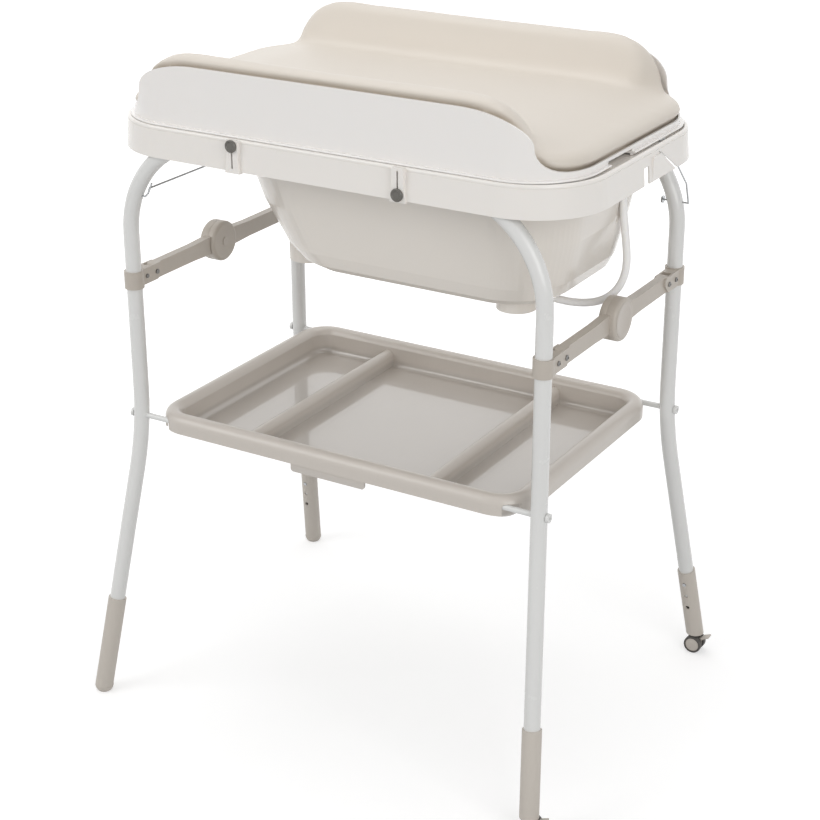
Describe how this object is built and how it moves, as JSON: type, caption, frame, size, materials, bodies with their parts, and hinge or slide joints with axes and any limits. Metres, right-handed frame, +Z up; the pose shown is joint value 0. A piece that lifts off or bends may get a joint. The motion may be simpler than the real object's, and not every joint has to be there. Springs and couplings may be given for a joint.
{
  "type": "changing table with basin",
  "caption": "folding baby changing table: padded top hinged over a drained bath tub, tube legs with folding cross bars, shelf tray, height sleeves and braked casters",
  "frame": {"origin": "middle of the bounding box at the floor, which lies 5.7 mm right of the plane midway between the legs", "axes": "+X to the right along the long side, +Y to the rear, +Z up; the drain, the casters and the drain hose are on the right"},
  "size_m": [0.8501, 0.6682, 1.088],
  "materials": {
    "white_enamel": "smooth glossy white powder coat",
    "zinc_rod": "bright zinc plate",
    "zinc_rivet": "zinc plate, slightly dull",
    "spring_steel": "plain spring steel",
    "beige_plastic": "satin moulded",
    "beige_sleeve": "satin moulded",
    "dark_plastic": "fine matt texture",
    "dark_tyre": "smooth dark tread",
    "white_plastic": "glossy moulded",
    "white_hose": "flexible, smooth",
    "beige_mat": "wipe-clean coated cover over foam",
    "taupe_tray": "glossy moulded"
  },
  "bodies": {
    "rear_frame": {"rear_frame_tube": "white_enamel", "rear_shelf_rod": "white_enamel", "clamp_rear_left": "beige_plastic", "clamp_rear_right": "beige_plastic", "pivot_rear_left": "zinc_rivet", "pivot_rear_right": "zinc_rivet", "screw_rear_left": "zinc_rivet", "screw_rear_right": "zinc_rivet", "snap_rear_left": "spring_steel", "snap_rear_right": "spring_steel", "stay_wire_left": "zinc_rod", "hook_wire_right": "zinc_rod"},
    "tub": {"basin": "white_plastic", "drain_fitting": "white_plastic", "drain_hose": "white_hose", "hinge_pin_left": "zinc_rod", "hinge_pin_right": "zinc_rod"},
    "plug": {"drain_plug": "white_plastic"},
    "latch_left": {"latch_left": "dark_plastic"},
    "latch_right": {"latch_right": "dark_plastic"},
    "top": {"changing_top": "white_plastic", "mat": "beige_mat"},
    "rear_bar_left": {"bar_rear_left": "beige_plastic", "hub_pin_left": "zinc_rivet"},
    "rear_bar_right": {"bar_rear_right": "beige_plastic", "hub_pin_right": "zinc_rivet"},
    "front_bar_left": {"bar_front_left": "beige_plastic"},
    "front_bar_right": {"bar_front_right": "beige_plastic"},
    "button_left": {"hub_button_left": "beige_plastic"},
    "button_right": {"hub_button_right": "beige_plastic"},
    "front_frame": {"front_frame_tube": "white_enamel", "front_shelf_rod": "white_enamel", "clamp_front_left": "beige_plastic", "clamp_front_right": "beige_plastic", "pivot_front_left": "zinc_rivet", "pivot_front_right": "zinc_rivet", "screw_front_left": "zinc_rivet", "screw_front_right": "zinc_rivet", "snap_front_left": "spring_steel", "snap_front_right": "spring_steel"},
    "tray": {"shelf_tray": "taupe_tray"},
    "leg_end_front_left": {"sleeve_front_left": "beige_sleeve", "foot_front_left": "beige_sleeve"},
    "leg_end_rear_left": {"sleeve_rear_left": "beige_sleeve", "foot_rear_left": "beige_sleeve"},
    "leg_end_front_right": {"sleeve_front_right": "beige_sleeve"},
    "leg_end_rear_right": {"sleeve_rear_right": "beige_sleeve"},
    "caster_front": {"caster_fork_front": "dark_plastic"},
    "wheels_front": {"caster_hub_front": "beige_plastic", "caster_tyre_a_front": "dark_tyre", "caster_tyre_b_front": "dark_tyre"},
    "brake_front": {"caster_brake_front": "beige_plastic"},
    "caster_rear": {"caster_fork_rear": "dark_plastic"},
    "wheels_rear": {"caster_hub_rear": "beige_plastic", "caster_tyre_a_rear": "dark_tyre", "caster_tyre_b_rear": "dark_tyre"},
    "brake_rear": {"caster_brake_rear": "beige_plastic"}
  },
  "joints": [
    {"name": "fold", "type": "hinge", "parent": "rear_frame", "child": "tub", "pos_m": [0, 0.2265, 0.9515], "axis": [-1, 0, 0], "range_deg": [0, 88], "deforming": ["stay_wire_left", "hook_wire_right"]},
    {"name": "rear_bar_pivot_left", "type": "hinge", "parent": "rear_frame", "child": "rear_bar_left", "pos_m": [-0.36767, 0.179, 0.714], "axis": [1, 0, 0], "range_deg": [0, 63.36]},
    {"name": "hub_left", "type": "hinge", "parent": "rear_bar_left", "child": "front_bar_left", "pos_m": [-0.36767, 0, 0.714], "axis": [1, 0, 0], "range_deg": [-126.72, 0]},
    {"name": "hub_button_left", "type": "slide", "parent": "front_bar_left", "child": "button_left", "axis": [1, 0, 0], "range_m": [0, 0.003], "stiffness_N_per_m": 400},
    {"name": "rear_bar_pivot_right", "type": "hinge", "parent": "rear_frame", "child": "rear_bar_right", "pos_m": [0.35633, 0.179, 0.714], "axis": [1, 0, 0], "range_deg": [0, 63.36]},
    {"name": "hub_right", "type": "hinge", "parent": "rear_bar_right", "child": "front_bar_right", "pos_m": [0.35633, 0, 0.714], "axis": [1, 0, 0], "range_deg": [-126.72, 0]},
    {"name": "hub_button_right", "type": "slide", "parent": "front_bar_right", "child": "button_right", "axis": [-1, 0, 0], "range_m": [0, 0.003], "stiffness_N_per_m": 400},
    {"name": "front_bar_pivot", "type": "hinge", "parent": "front_bar_left", "child": "front_frame", "pos_m": [-0.36767, -0.179, 0.714], "axis": [1, 0, 0], "range_deg": [0, 63.36]},
    {"name": "tray_tip", "type": "hinge", "parent": "rear_frame", "child": "tray", "pos_m": [0, 0.228, 0.484], "axis": [-1, 0, 0], "range_deg": [0, 74.8]},
    {"name": "top_hinge", "type": "hinge", "parent": "tub", "child": "top", "pos_m": [0, 0.25, 0.974], "axis": [-1, 0, 0], "range_deg": [0, 95]},
    {"name": "plug_lift", "type": "slide", "parent": "tub", "child": "plug", "axis": [0, 0, 1], "range_m": [0, 0.06]},
    {"name": "latch_left_slide", "type": "slide", "parent": "tub", "child": "latch_left", "axis": [0, 0, 1], "range_m": [-0.03, 0]},
    {"name": "latch_right_slide", "type": "slide", "parent": "tub", "child": "latch_right", "axis": [0, 0, 1], "range_m": [0, 0.03]},
    {"name": "height_front_left", "type": "slide", "parent": "front_frame", "child": "leg_end_front_left", "axis": [0.0954, 0.2, 0.9751], "range_m": [0, 0.049], "deforming": ["snap_front_left"]},
    {"name": "height_front_right", "type": "slide", "parent": "front_frame", "child": "leg_end_front_right", "axis": [-0.0954, 0.2, 0.9751], "range_m": [0, 0.049], "deforming": ["snap_front_right"]},
    {"name": "height_rear_left", "type": "slide", "parent": "rear_frame", "child": "leg_end_rear_left", "axis": [0.0954, -0.2, 0.9751], "range_m": [0, 0.049], "deforming": ["snap_rear_left"]},
    {"name": "height_rear_right", "type": "slide", "parent": "rear_frame", "child": "leg_end_rear_right", "axis": [-0.0954, -0.2, 0.9751], "range_m": [0, 0.049], "deforming": ["snap_rear_right"]},
    {"name": "swivel_front", "type": "hinge", "parent": "leg_end_front_right", "child": "caster_front", "pos_m": [0.39497, -0.3117, 0.04], "axis": [0, 0, 1], "continuous": true},
    {"name": "roll_front", "type": "hinge", "parent": "caster_front", "child": "wheels_front", "pos_m": [0.39797, -0.3117, 0.0155], "axis": [0, 1, 0], "continuous": true},
    {"name": "brake_lever_front", "type": "hinge", "parent": "caster_front", "child": "brake_front", "pos_m": [0.40847, -0.3117, 0.024], "axis": [0, 1, 0], "range_deg": [0, 14]},
    {"name": "swivel_rear", "type": "hinge", "parent": "leg_end_rear_right", "child": "caster_rear", "pos_m": [0.39497, 0.3117, 0.04], "axis": [0, 0, 1], "continuous": true},
    {"name": "roll_rear", "type": "hinge", "parent": "caster_rear", "child": "wheels_rear", "pos_m": [0.39797, 0.3117, 0.0155], "axis": [0, 1, 0], "continuous": true},
    {"name": "brake_lever_rear", "type": "hinge", "parent": "caster_rear", "child": "brake_rear", "pos_m": [0.40847, 0.3117, 0.024], "axis": [0, 1, 0], "range_deg": [0, 14]}
  ],
  "couplings": [
    {"joint": "rear_bar_pivot_left", "follows": "fold", "ratio": 0.72},
    {"joint": "hub_left", "follows": "fold", "ratio": -1.44},
    {"joint": "rear_bar_pivot_right", "follows": "fold", "ratio": 0.72},
    {"joint": "hub_right", "follows": "fold", "ratio": -1.44},
    {"joint": "front_bar_pivot", "follows": "fold", "ratio": 0.72},
    {"joint": "tray_tip", "follows": "fold", "ratio": 0.85}
  ]
}
